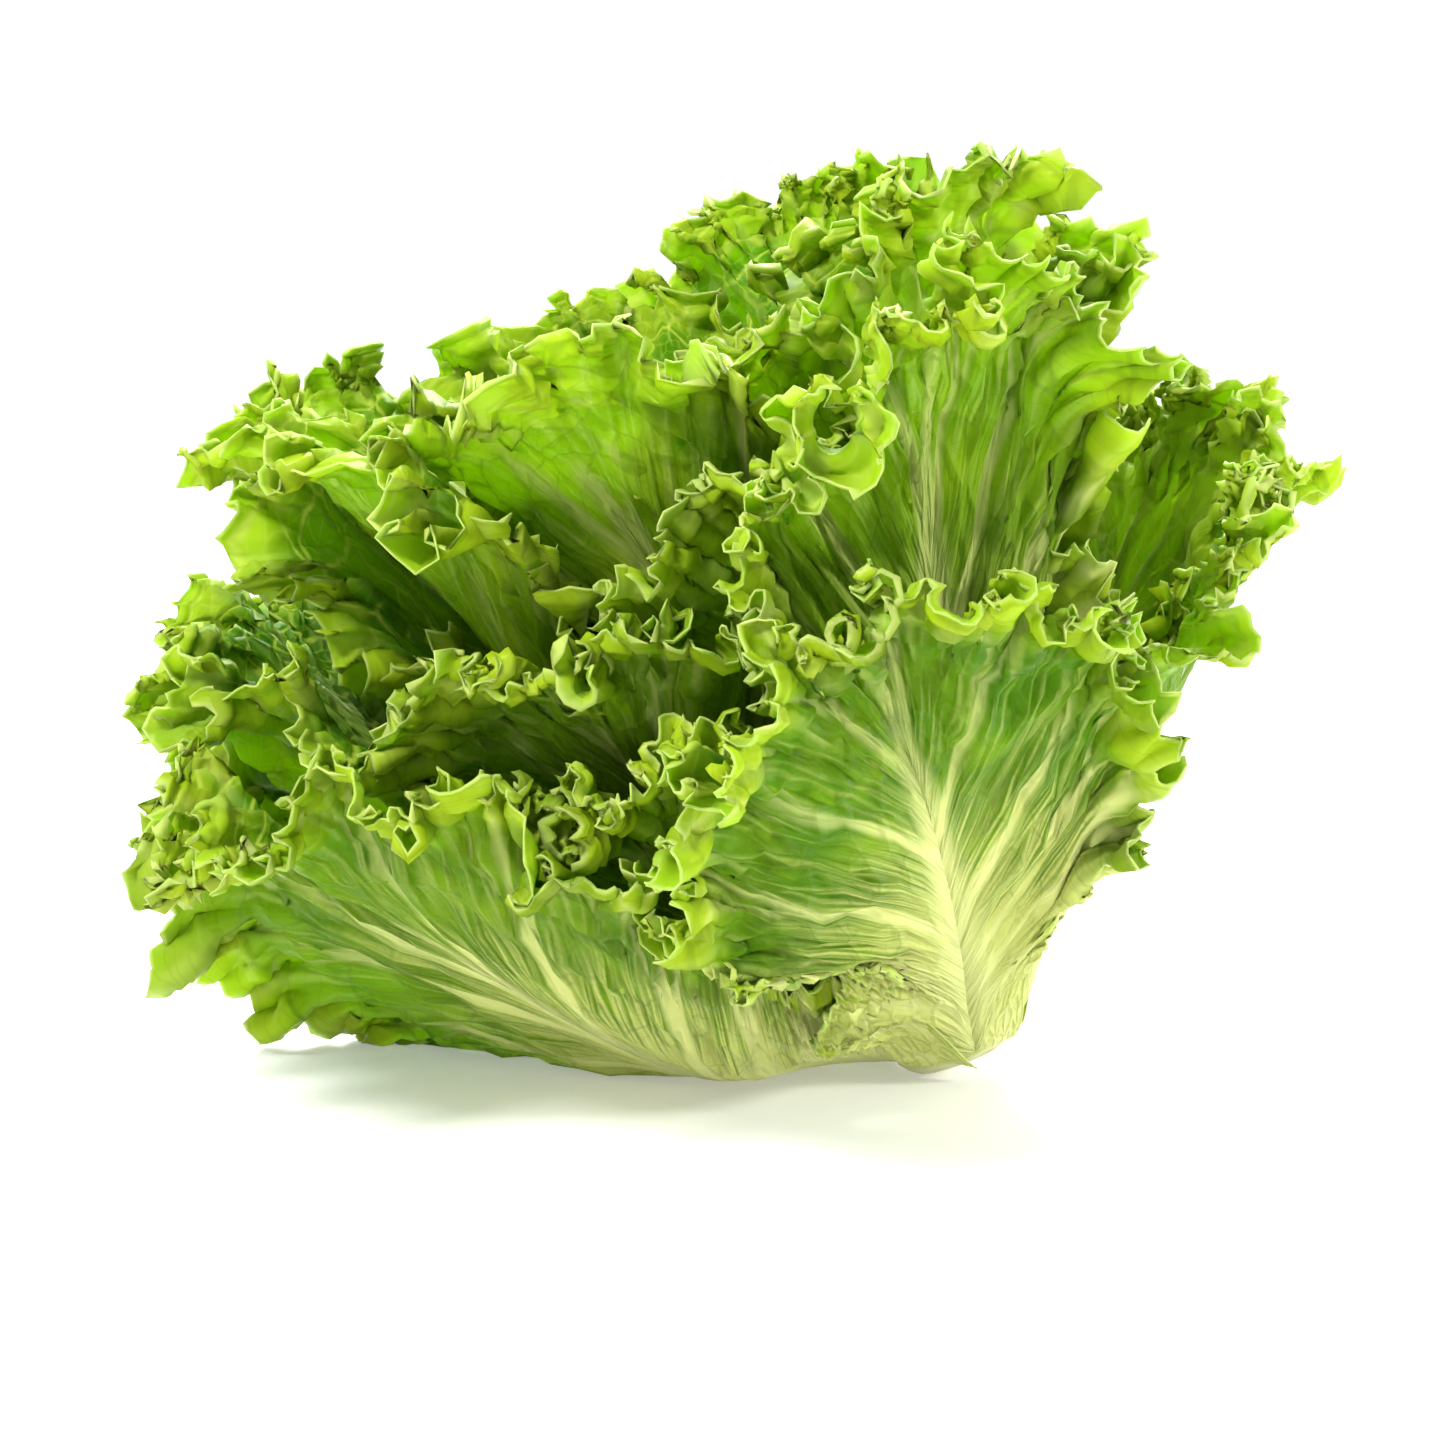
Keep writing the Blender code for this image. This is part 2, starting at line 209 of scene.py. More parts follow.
@dataclass(frozen=True)
class Growth:
    """How the head grows and lies: the sizes of its solids, which every piece here keeps."""

    leaf_count: int = 24
    golden_angle: float = math.radians(137.5)
    first_azimuth: float = math.radians(65)
    lean_left: float = math.radians(22)
    lean_forward: float = math.radians(4)
    depth_share: float = 0.76
    sag: float = 0.028
    sag_reach: float = 0.054
    sag_below: float = 0.150
    press_softness: float = 0.004
    seed: int = 11
    stem_radii: Row = (0.0145, 0.0168, 0.0170, 0.0135, 0.0080, 0.0030)
    stem_heights: Row = (0.0000, 0.0025, 0.0200, 0.0360, 0.0520, 0.0600)
    stem_sides: int = 20
    stem_trim: float = 0.0007
    first_leaf_height: float = 0.0080
    last_leaf_height: float = 0.0560
    gap: float = 0.0014
    opening_at: Row = (0.000, 0.022, 0.060, 0.130, 0.180, 0.215, 0.260)
    opening_outer: Row = (60, 57, 52, 46, 45, 52, 64)
    opening_inner: Row = (30, 18, 9, 5, 7, 12, 20)
    own_opening_by: float = 0.060
    midline_reach: float = 0.260
    midline_steps: int = 105
    widest_wrap: float = 1.15
    next_to_it: int = 2
    most_bend: float = 10
    bend_step: float = 2.4
    rank_at: Row = (0.0, 0.3, 0.6, 0.8, 1.0)
    lengths: Row = (0.214, 0.220, 0.210, 0.184, 0.142)
    half_widths: Row = (0.084, 0.084, 0.074, 0.060, 0.044)
    outer_waves: int = 16
    inner_waves: int = 12
    fewer_waves_from: float = 0.55
    blade: float = 0.0008

    def stem_radius(self, height: float) -> float:
        """The stem's radius at a height above its cut face."""
        return float(np.interp(height, self.stem_heights, self.stem_radii))

    def stem_rings(self, sides: int) -> Array:
        """The stem's solid as rings of points in the upright head, with so many points a ring.

        Args:
            sides: Points in each ring.

        Returns:
            The points, from the cut face up.
        """
        turn = np.arange(sides) * math.tau / sides
        return np.array(
            [
                (r * math.cos(a), r * math.sin(a), h)
                for r, h in zip(self.stem_radii, self.stem_heights)
                for a in turn
            ]
        )

    def middle(self) -> Array:
        """How far the lying head was moved so that its box stands over the origin, from its stem.

        Returns:
            The shift, level with the surface.
        """
        laid = self.lay_down(self.stem_rings(self.stem_sides))
        low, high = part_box("stem")
        packed = np.array([(low.x + high.x) / 2, (low.y + high.y) / 2, 0])
        grown = np.append((laid.min(axis=0)[:2] + laid.max(axis=0)[:2]) / 2, 0)
        return packed - grown

    def foot_height(self, rank: float) -> float:
        """How high on the stem a leaf starts."""
        return between(self.first_leaf_height, self.last_leaf_height, rank)

    def midline(self, rank: float, own_opening: float) -> tuple[Array, ...]:
        """A leaf's midline in the plane through the axis.

        Args:
            rank: 0 for the outermost leaf, 1 for the innermost.
            own_opening: Degrees by which this leaf opens wider than the rule.

        Returns:
            Distance along it, distance out from the axis, height and opening.
        """
        along = np.linspace(0, self.midline_reach, self.midline_steps)
        outer, inner = np.array(self.opening_outer), np.array(self.opening_inner)
        opening = np.interp(along, self.opening_at, between(outer, inner, rank))
        opening = np.radians(opening + own_opening * smoothly(along, 0, self.own_opening_by))
        foot = self.foot_height(rank)
        step = along[1]

        def summed(rate: Array) -> Array:
            """A rate's running sum along the midline."""
            return np.concatenate([[0], np.cumsum((rate[1:] + rate[:-1]) / 2) * step])

        out = self.stem_radius(foot) + self.gap + summed(np.sin(opening))
        return along, out, foot + summed(np.cos(opening)), opening

    def room(self, rank: float, distance: Array) -> Array:
        """How far the cup of the leaf two further in stays from this rank's, at distances along it.

        Args:
            rank: 0 for the outermost leaf, 1 for the innermost.
            distance: Metres along the leaf from its foot.

        Returns:
            Metres between the two cups.
        """
        along, out, up, opening = self.midline(rank, 0)
        _, inner_out, inner_up, _ = self.midline(rank + self.next_to_it / (self.leaf_count - 1), 0)
        apart = (out - inner_out) * np.cos(opening) - (up - inner_up) * np.sin(opening)
        return np.interp(distance, along, apart)

    def lay_down(self, points: Array) -> Array:
        """The upright head's points, flattened a little front to back and turned to lie on its side.

        Args:
            points: Points of the upright head.

        Returns:
            The same points of the lying head, over its cut stem.
        """
        x, y, z = points.T
        x, z = turned(x, z, self.lean_left)
        y, z = turned(y * self.depth_share, z, self.lean_forward)
        z = z + self.stem_radii[0] * math.sin(self.lean_left) - self.stem_trim
        sagging = smoothly(-x - self.stem_radii[0], 0, self.sag_reach)
        z = z - self.sag * sagging * (1 - smoothly(z, 0, self.sag_below))
        return np.stack([x, y, z], axis=-1)

    def press(self, points: Array) -> Array:
        """Bends what would reach below the surface up onto it, softly."""
        height = np.logaddexp(0, points[:, 2] / self.press_softness) * self.press_softness
        return np.column_stack([points[:, :2], height + self.blade / 2])


@dataclass(frozen=True)
class OwnWay:
    """What one leaf does beside the rule of its rank."""

    turn: float = 0
    longer: float = 1
    wider: float = 1
    bend: float | None = None
    opening: float = 0
    flat_left: float = 0
    flat_right: float = 0
    frills: float = 1
    pale: float = 1
    slim_left: float = 0
    foot_left: float = 0
    foot_right: float = 0
    calm_left: float = 0
    calm_right: float = 0
    # Lifts the whole leaf's colour: painted light, for leaves that lie in shade yet should look lit.
    painted_light: float = 0


OWN_WAYS = {
    1: OwnWay(14, 1.00, 0.77, 4, -2, 0.1, 0.1, pale=1.45, slim_left=0.4, foot_left=0.45, calm_left=0.28),
    2: OwnWay(0, 0.95, 1.00, 0, 0, 0.2, 0.2),
    3: OwnWay(1, 0.96, 1.24, 4, -3, 0.9, 0.1, pale=1.7, foot_right=0.7, calm_right=0.28),
    4: OwnWay(4, 0.73, 0.82, 0, 0, 0.0, 0.1, 0.7, painted_light=0.15),
    5: OwnWay(-22, 1.00, 1.10, 0, calm_right=0.25),
    6: OwnWay(16, 0.70, 1.00, 6, -2.8, calm_left=0.25),
    7: OwnWay(12, 0.76, 1.00, 0, 5, 0.0, 0.1, painted_light=0.45),
    8: OwnWay(6, 0.96, 1.09, 0, -0.4),
    9: OwnWay(24, 1.08, 0.61, -4, 0.3, pale=1.5),
    11: OwnWay(-12, 0.76, 0.90, 6),
    12: OwnWay(-16, 0.86, 0.90, 0, -3),
    13: OwnWay(0, 1.04, 1.06, 0),
    14: OwnWay(0, 0.76, 0.90, 0),
    16: OwnWay(4, 1.06, 1.00, 0, 1.5),
    18: OwnWay(0, 1.00, 1.00, -8, 0.7),
    20: OwnWay(0, 1.00, 0.94, -7),
}


@dataclass(frozen=True)
class Ruffle:
    """One size of ruffle along a leaf's edge.

    Pitch and depth are metres of the flat leaf, and the swing is in radians.
    """

    pitch: float
    swing: float
    depth: float
    fading: float = 1.1
    changing: float = 0.40


class Frill:
    """A leaf's ruffles as a table, read at any point of the leaf.

    The edge swings to either side of its own way as a river does, so its folds stand steep or lean over.
    """

    levels: int = 33
    columns: int = 4096
    window: float = 1.5
    most_swing: float = 2.8
    least_headway: float = 0.28
    unevenness: float = 0.5
    uneven_over: float = 1.4
    changing_over: float = 1.8

    def __init__(self, ruffles: tuple[Ruffle, ...], around: float, strength: Array, seed: int) -> None:
        """Works out the table.

        Args:
            ruffles: The sizes of ruffle, the broadest first.
            around: Metres round the flat leaf's edge.
            strength: How strong the ruffles are, evenly spaced round the edge.
            seed: Picks the leaf's own unevenness.
        """
        self.around = around
        self.deepest = max(ruffle.depth for ruffle in ruffles)
        place = np.linspace(0, around, self.columns)
        inward = np.linspace(0, self.deepest, self.levels)[:, None]
        strength = np.interp(place / around, np.linspace(0, 1, len(strength)), strength)
        swing = np.zeros((self.levels, self.columns))
        for k, ruffle in enumerate(ruffles):
            turns = place / ruffle.pitch
            much = 1 + ruffle.changing * wander(seed + 3 * k + 1, turns / self.changing_over)
            turns = turns + self.unevenness * wander(seed + 3 * k, turns / self.uneven_over)
            fading = faded(inward / ruffle.depth) ** ruffle.fading
            swing += ruffle.swing * much * strength * fading * np.sin(math.tau * turns)
        swing = self.most_swing * np.tanh(swing / self.most_swing)
        half = int(self.window * ruffles[0].pitch / around * self.columns / 2)
        longer = 1 / np.maximum(self.evened(np.cos(swing), half), self.least_headway)
        sideways = np.cumsum(np.cos(swing) * longer - 1, axis=1) * place[1]
        off = np.cumsum(np.sin(swing) * longer, axis=1) * place[1]
        self.sideways = sideways - self.evened(sideways, half)
        self.off = off - self.evened(off, half)

    @staticmethod
    def evened(table: Array, half: int) -> Array:
        """Each row's running mean over so many columns to either side.

        Args:
            table: The rows.
            half: How many columns to either side.

        Returns:
            The means, in the same shape.
        """
        padded = np.pad(table, ((0, 0), (half + 1, half)), mode="edge")
        total = np.cumsum(padded, axis=1)
        return (total[:, 2 * half + 1 :] - total[:, : -2 * half - 1]) / (2 * half + 1)

    def read(self, place: Array, inward: Array) -> tuple[Array, Array]:
        """How far points move along the edge and off the blade.

        Args:
            place: Metres round the flat leaf's edge.
            inward: Metres from the edge inward.

        Returns:
            Metres along the edge, and metres off the blade.
        """
        column = np.clip(place / self.around, 0, 1) * (self.columns - 1.001)
        level = np.clip(inward / self.deepest, 0, 1) * (self.levels - 1.001)
        i, j = np.floor(level).astype(int), np.floor(column).astype(int)
        u, v = level - i, column - j
        found = []
        for table in (self.sideways, self.off):
            near = table[i, j] * (1 - v) + table[i, j + 1] * v
            far = table[i + 1, j] * (1 - v) + table[i + 1, j + 1] * v
            found.append(near * (1 - u) + far * u)
        return found[0], found[1]


@dataclass
class Leaf:
    """One leaf of the head, from its place in the spiral to its finished mesh."""

    growth: Growth
    number: int
    detail: Detail
    middle: Array
    tone: float
    rank: float = field(init=False)
    waves: int = field(init=False)
    own: OwnWay = field(init=False)

    outline_width: Row = (0.26, 0.31, 0.48, 0.84, 1.00, 0.88, 0.50, 0.00)
    outline_height: Row = (0.00, 0.13, 0.28, 0.47, 0.68, 0.87, 0.97, 1.00)
    vein_start: Row = (0.00, 0.01, 0.03, 0.09, 0.21, 0.38, 0.57, 0.73)
    outline_steps: int = 161
    width_shares: Pair = (0.70, 1.30)
    height_shares: Pair = (0.65, 1.25)
    wave_height: float = 0.0080
    wave_depth: float = 0.045
    swell_height: float = 0.0050
    swell_depth: float = 0.085
    waves_per_swell: float = 3.1
    swell_step: float = 1.7
    calmer_inside: float = 0.25
    flare: float = 0.004
    flare_depth: float = 0.030
    smooth_below: float = 0.20
    frilled_above: float = 0.45
    room_for_full_waves: float = 0.0155

    ruffles: tuple[Ruffle, ...] = (
        Ruffle(0.0155, 1.35, 0.042, 0.8),
        Ruffle(0.0064, 1.95, 0.025, 0.50),
        Ruffle(0.0032, 1.80, 0.014, 0.5),
    )
    more_wave: float = 1.30
    roll_depth: float = 0.034
    roll: float = 0.20
    roll_change: float = 0.55
    roll_pitch: float = 0.022
    frills_from: float = 0.18
    frills_by: float = 0.42
    foot_between: Pair = (0.26, 0.42)
    slim_between: Pair = (0.40, 0.66)
    knot_step: float = 0.02
    out_step: float = 0.004
    least_roll: float = 0.35
    strength_steps: int = 257
    tooth_points: int = 6
    tooth_count: int = 4096
    tooth_shares: Pair = (0.35, 1.25)
    tooth_foot: float = 0.3
    tooth_height: float = 0.0050
    tooth_depth: float = 0.006
    tooth_sharpness: float = 1.6
    lobe_height: float = 0.0050
    lobe_pitch: float = 0.009
    lobe_depth: float = 0.022
    vein_curve: float = 0.82
    base_rows: int = 12
    middle_rows: int = 5
    edge_rows: int = 2
    row_gathering: float = 1.2

    pale_reach: float = 0.60
    pale_narrowing: float = 1.5
    foot_stays_over_cut: float = 0.0008
    foot_drop: float = 0.0110
    foot_length: float = 0.028
    foot_hugs: float = 0.0012
    blade: float = 0.0005
    pucker_height: float = 0.0024
    pucker_pitch: float = 0.011
    fine_pucker_pitch: float = 0.0052
    fine_pucker_share: float = 0.5
    puckers_a_wave: float = 2.2
    crease_height: float = 0.0011
    creases: Pair = (3.4, 3.0)
    quilt_height: float = 0.0018
    midrib_widths: Pair = (0.0150, 0.0008)
    midrib_heights: Pair = (0.0040, 0.0003)
    midrib_ends: Pair = (0.80, 0.98)
    side_rib_width: float = 0.0030
    side_rib_height: float = 0.0017
    narrower_out: float = 0.84
    narrower_up: float = 0.45
    rib_unevenness: float = 0.12
    fork_from: float = 0.25
    fork_until: float = 1.25
    fork_spread: float = 0.42
    fork_shares: Pair = (0.7, 1.3)
    outermost_tone: float = 0.30
    lighter_inside: float = 0.25

    def __post_init__(self) -> None:
        """Works out what the leaf's number gives."""
        growth = self.growth
        self.rank = (self.number - 1) / (growth.leaf_count - 1)
        self.waves = growth.outer_waves if self.rank < growth.fewer_waves_from else growth.inner_waves
        self.own = OWN_WAYS.get(self.number, OwnWay())
        self.tone = self.outermost_tone + self.lighter_inside * self.rank + self.tone

    @property
    def name(self) -> str:
        """The leaf's name, with the number its solid has."""
        return f"leaf_{self.number:02d}"

    @property
    def azimuth(self) -> float:
        """Where the leaf stands round the axis."""
        rule = self.growth.first_azimuth - self.growth.golden_angle * (self.number - 1)
        return rule + math.radians(self.own.turn)

    @property
    def bend(self) -> float:
        """How far the leaf's tip bends sideways."""
        rule = self.growth.most_bend * math.sin(self.growth.bend_step * self.number)
        return math.radians(rule if self.own.bend is None else self.own.bend)

    @property
    def length(self) -> float:
        """The leaf's length from foot to tip."""
        return float(np.interp(self.rank, self.growth.rank_at, self.growth.lengths)) * self.own.longer

    @property
    def half_width(self) -> float:
        """Half of the leaf's width."""
        return float(np.interp(self.rank, self.growth.rank_at, self.growth.half_widths)) * self.own.wider

    @property
    def size(self) -> float:
        """The leaf's size against the outermost one, calmer further in."""
        return self.length / self.growth.lengths[0] * (1 - self.calmer_inside * self.rank)

    def knots(self, step: int, shares: Pair) -> Array:
        """Seeded values between two shares, one for each wave of the edge and one more."""
        draws = np.random.default_rng(self.growth.seed + step * self.number)
        return draws.uniform(*shares, self.waves + 1)

    def edge(self, wave: Array) -> Array:
        """Where waves lie on the flat leaf's edge.

        Args:
            wave: Waves round the edge, from the foot over the tip to the foot.

        Returns:
            Rows of: distance round the edge, across, along, and where the vein to there starts.
        """
        step = np.linspace(0, len(self.outline_width) - 1, self.outline_steps)
        rows = (self.outline_width, self.outline_height, self.vein_start)
        half = [along_spline(np.array(row), step) for row in rows]
        above_foot = smoothly(half[1], *self.foot_between)
        slim = self.own.slim_left * above_foot * (1 - smoothly(half[1], *self.slim_between))
        left = half[0] * (1 - slim + self.own.foot_left * (1 - above_foot))
        right = half[0] * (1 + self.own.foot_right * (1 - above_foot))
        across = np.concatenate([-right, left[-2::-1]]) * self.half_width
        along, start = (np.concatenate([row, row[-2::-1]]) * self.length for row in half[1:])
        around = np.concatenate([[0], np.cumsum(np.hypot(np.diff(across), np.diff(along)))])
        share = np.concatenate([[0], np.cumsum(self.knots(31, self.width_shares)[: self.waves])])
        share = (share + share[-1] - share[::-1]) / (2 * share[-1])
        place = np.interp(wave, np.arange(self.waves + 1), share) * around[-1]
        return np.array([place] + [np.interp(place, around, row) for row in (across, along, start)])

    def broad_waves(self, wave: Array, inward: Array) -> Array:
        """The solid's own waves: how far the blade leaves its cup.

        Args:
            wave: Waves round the edge.
            inward: Metres from the edge inward.

        Returns:
            Metres off the cup.
        """
        values = self.knots(57, self.height_shares)
        whole = np.clip(np.floor(wave).astype(int), 0, len(values) - 2)
        heights = between(values[whole], values[whole + 1], smoothly(wave - whole, 0, 1))
        fading = faded(inward / self.wave_depth) ** 1.5
        lift = self.wave_height * self.size * heights * np.cos(math.tau * wave) * fading
        swell = np.sin(math.tau * wave / self.waves_per_swell + self.swell_step * self.number)
        lift += self.swell_height * self.size * swell * faded(inward / self.swell_depth)
        return lift + self.flare * faded(inward / self.flare_depth) ** 2

    def ribs(self, wave: Array, out: Array, spacing: Array, up: Array) -> Array:
        """How much each point belongs to a side rib, from 0 to 1.

        Args:
            wave: Waves round the edge.
            out: Share of the way to the edge.
            spacing: Metres across the ribs for one wave.
            up: Share of the way from the foot to the tip.

        Returns:
            1 on a rib's crest, fading to 0 at its sides.
        """
        draws = np.random.default_rng(self.growth.seed + 83 * self.number)
        found = np.zeros_like(wave)
        for k in range(self.waves):
            first = k + 0.5 + draws.uniform(-self.rib_unevenness, self.rib_unevenness)
            fork = self.fork_spread * draws.uniform(*self.fork_shares)
            forks = ((0, 0, 1.0), (fork, self.fork_from, 0.7), (-fork, self.fork_from * 1.3, 0.6))
            for spread, start, width in forks:
                line = first + spread * smoothly(out, start, self.fork_until)
                half = self.side_rib_width * width * self.own.pale
                half = half * (1 - self.narrower_out * np.clip(out, 0, 1)) * (1 - self.narrower_up * up)
                near = faded(((wave - line) * spacing / half) ** 2) ** 1.5
                near = near * (smoothly(out, start, start + 0.12) if start else 1) * (0.75 + 0.25 * width)
                found = np.maximum(found, near)
        return found

    def frilled_height(self, across: Array, along: Array) -> Array:
        """How high up the leaf places on its edge are, as its frills count it."""
        return along / self.length - np.where(across > 0, self.own.calm_left, self.own.calm_right)

    def sheet(self, wave: Array, out: Array) -> Array:
        """Points of the inner face with the solid's own waves and a rolled edge, before the frills.

        Args:
            wave: Waves round the edge.
            out: Share of the way to the edge.

        Returns:
            The points in the lying head.
        """
        place, edge_x, edge_y, start = self.edge(wave)
        reach = np.hypot(edge_x, edge_y - start)
        inward = (1 - out) * reach
        up = self.frilled_height(edge_x, edge_y)
        broad = smoothly(up, self.smooth_below, self.frilled_above)
        free = self.growth.room(self.rank, start + (edge_y - start) * np.clip(out, 0, 1))
        free = np.clip(free / self.room_for_full_waves, 0, 1)
        seed = self.growth.seed + 211 * self.number
        roll = self.roll + self.roll_change * wander(seed, place / self.roll_pitch)
        roll *= smoothly(up, self.frills_from, self.frilled_above)
        roll = roll * (self.least_roll + (1 - self.least_roll) * free) * self.own.frills
        share = np.clip(1 - inward / self.roll_depth, 0, 1.2)
        lift = self.broad_waves(wave, inward) * broad * free * self.more_wave
        lift += self.roll_depth * roll * share**2 / 2 * (1 - (roll * share) ** 2 / 12)
        drawn_in = self.roll_depth * roll**2 * share**3 / 6 / np.maximum(reach, 0.01)
        kept = np.maximum(out - drawn_in, 0)
        points = self.wrap(edge_x * kept, start + (edge_y - start) * kept**self.vein_curve, lift)
        return self.growth.press(self.growth.lay_down(points)) + self.middle

    def surface(self, wave: Array, out: Array, tooth: Array) -> dict[str, Array]:
        """The leaf's inner face with everything that shapes it.

        Args:
            wave: Waves round the edge.
            out: Share of the way to the edge.
            tooth: Teeth round the edge, counted from the foot.

        Returns:
            The points' places, the blade's thickness there, and what the finish reads.
        """
        place, edge_x, edge_y, start = self.edge(wave)
        before, behind = np.maximum(wave - self.knot_step, 0), np.minimum(wave + self.knot_step, self.waves)
        over = (self.edge(behind) - self.edge(before)) / (behind - before)
        reach = np.hypot(edge_x, edge_y - start)
        inward = (1 - out) * reach
        fine = smoothly(self.frilled_height(edge_x, edge_y), self.frills_from, self.frills_by)

        across_rib = np.abs(over[1] * out * (edge_y - start) - (over[3] * (1 - out) + over[2] * out) * edge_x)
        spacing = across_rib / np.maximum(reach, 1e-6)
        along = start + (edge_y - start) * out**self.vein_curve
        higher = np.clip(along / self.length, 0, 1)
        side_rib = self.ribs(wave, out, spacing, higher)
        half = between(*self.midrib_widths, higher**0.7)
        midrib = faded((edge_x * out / (half * self.size)) ** 2) ** 1.3
        midrib *= 1 - smoothly(higher, *self.midrib_ends)

        seed = self.growth.seed + 131 * self.number
        heights = np.random.default_rng(seed + 6).uniform(*self.tooth_shares, self.tooth_count)
        point = faded(np.abs(2 * (tooth - np.floor(tooth)) - 1)) ** self.tooth_sharpness
        growing = self.tooth_height * (heights[np.floor(tooth).astype(int)] * point - self.tooth_foot)
        growing *= faded(inward / self.tooth_depth)
        lobes = wander(seed + 7, place / self.lobe_pitch)
        lobes += 0.7 * wander(seed + 9, place / self.lobe_pitch * 2.3)
        lobes *= faded(inward / self.lobe_depth)
        growing = (growing + self.lobe_height * lobes) * fine
        grown = out + growing / np.maximum(reach, 0.01)

        around = float(self.edge(np.array([float(self.waves)]))[0][0])
        rows = self.edge(np.linspace(0, self.waves, self.strength_steps))
        evenly = np.linspace(0, around, self.strength_steps)
        strength = np.interp(evenly, rows[0], self.frilled_height(rows[1], rows[2]))
        strength = smoothly(strength, self.frills_from, self.frills_by)
        strength = strength * (1 - 0.2 * self.rank) * self.own.frills
        sideways, off = Frill(self.ruffles, around, strength, seed).read(place, inward)

        points = self.sheet(wave, grown)
        along_edge = unit(self.sheet(behind, grown) - self.sheet(before, grown))
        outward = self.sheet(wave, grown + self.out_step) - self.sheet(wave, grown - self.out_step)
        facing = unit(np.cross(along_edge, outward))
        points = points + along_edge * sideways[:, None] + facing * off[:, None]

        blade_share = smoothly(out, 0.05, 0.35) * smoothly(higher, 0.05, 0.30)
        across_puckers = wave * spacing / self.pucker_pitch * self.puckers_a_wave
        pucker = ripples(seed + 3, across_puckers, inward / self.pucker_pitch)
        pitch = self.fine_pucker_pitch
        pucker += self.fine_pucker_share * ripples(seed + 4, edge_x * out / pitch, along / pitch)
        puff = self.pucker_height * pucker * blade_share
        crease = ripples(seed + 5, wave * self.creases[0], out * self.creases[1])
        puff += self.crease_height * crease * smoothly(out, 0.02, 0.2) * (0.4 + 0.6 * higher)
        puff -= self.quilt_height * (1 - side_rib) * blade_share

        from_foot = np.hypot(edge_x * out * self.pale_narrowing, along) / self.length
        thick = self.blade + between(*self.midrib_heights, higher) * self.size * midrib
        thick += self.side_rib_height * side_rib * faded(out) ** 1.2 * (1 - 0.6 * higher)
        return {
            "points": points,
            "puff": puff,
            "thick": thick,
            "flat": np.column_stack([edge_x * grown, along]) * 10 + self.number,
            "grain": np.column_stack([wave, out]) + self.number,
            "rib": np.maximum(midrib, side_rib * (1 - 0.25 * np.clip(out, 0, 1))),
            "pale": 1 - smoothly(from_foot, 0, self.pale_reach * self.own.pale),
            "inward": inward * 100,
            # The leaf's tone, with its painted light added.
            "tone": np.full(len(wave), self.tone + self.own.painted_light),
        }

    def wrap(self, across: Array, along: Array, lift: Array) -> Array:
        """Wraps flat leaf coordinates round the head's axis.

        Args:
            across: Metres to the left of the midrib.
            along: Metres up from the foot.
            lift: Metres off the cup, towards the leaf's outer face.

        Returns:
            Points of the upright head.
        """
        distance, out, up, opening = self.growth.midline(self.rank, self.own.opening)
        radius, height, angle = (np.interp(along, distance, row) for row in (out, up, opening))
        foot = self.growth.foot_height(self.rank)
        at_foot = 1 - smoothly(along, 0, self.foot_length)
        height -= min(foot - self.foot_stays_over_cut, self.foot_drop) * at_foot
        radius -= self.foot_hugs * at_foot
        widest = self.growth.widest_wrap
        azimuth = self.azimuth + widest * np.tanh(across / (widest * radius))
        azimuth += self.bend * (along / self.length) ** 2
        flat = np.where(across > 0, self.own.flat_left, self.own.flat_right)
        lift = lift + flat * across**2 / (2 * radius)
        radius = radius + lift * np.cos(angle)
        height = height - lift * np.sin(angle)
        return np.stack([radius * np.cos(azimuth), -radius * np.sin(azimuth), height], axis=-1)

    def build(self, finishes: list[Material]) -> Object:
        """Models the leaf: a flat sheet, split finer at its edge, grown into shape and thickened.

        Args:
            finishes: The inner face's finish and the outer face's.

        Returns:
            The finished leaf.
        """
        bpy.ops.object.select_all(action="DESELECT")
        bpy.ops.mesh.primitive_grid_add(
            x_subdivisions=self.detail.value, y_subdivisions=self.base_rows, size=2
        )
        obj = bpy.context.object
        obj.name = obj.data.name = self.name + "_frilled"
        self.split_edge_band(obj)
        mesh = obj.data
        share, row = (places_of(mesh)[:, :2].T + 1) / 2
        out = 1 - (1 - row) ** self.row_gathering
        tooth = share * self.detail.value * 4 / self.tooth_points
        grown = self.surface(share * self.waves, out, tooth)
        points = grown["points"]
        put(mesh, points)
        normals = np.empty(len(points) * 3, np.float32)
        mesh.vertex_normals.foreach_get("vector", normals)
        put(mesh, points + normals.reshape(-1, 3) * grown["puff"][:, None])
        self.mark(mesh, grown)
        self.thicken(obj, grown["thick"])
        for finish in finishes:
            mesh.materials.append(finish)
        self.finish_mesh(obj)
        return obj

    def split_edge_band(self, obj: Object) -> None:
        """Splits the sheet's rows near the leaf's edge in two, both ways, and the last ones once more.

        Args:
            obj: The flat sheet.
        """
        with editing():
            for rows in (self.middle_rows, self.edge_rows):
                line = 1 - 2 * rows / self.base_rows
                choose_faces(obj, lambda face: face.calc_center_median().y > line)
                bpy.ops.mesh.subdivide(number_cuts=1)

    def mark(self, mesh: Mesh, grown: dict[str, Array]) -> None:
        """Writes what the finish reads: two flat maps and four values a point.

        Args:
            mesh: The leaf's mesh.
            grown: What surface gave for its points.
        """
        corners = np.empty(len(mesh.loops), np.int32)
        mesh.loops.foreach_get("vertex_index", corners)
        for name in ("flat", "grain"):
            chart = mesh.uv_layers.new(name=name)
            chart.uv.foreach_set("vector", grown[name][corners].astype(np.float32).ravel())
        for name in POINT_VALUES:
            values = mesh.attributes.new(name, "FLOAT", "POINT")
            values.data.foreach_set("value", grown[name].astype(np.float32))

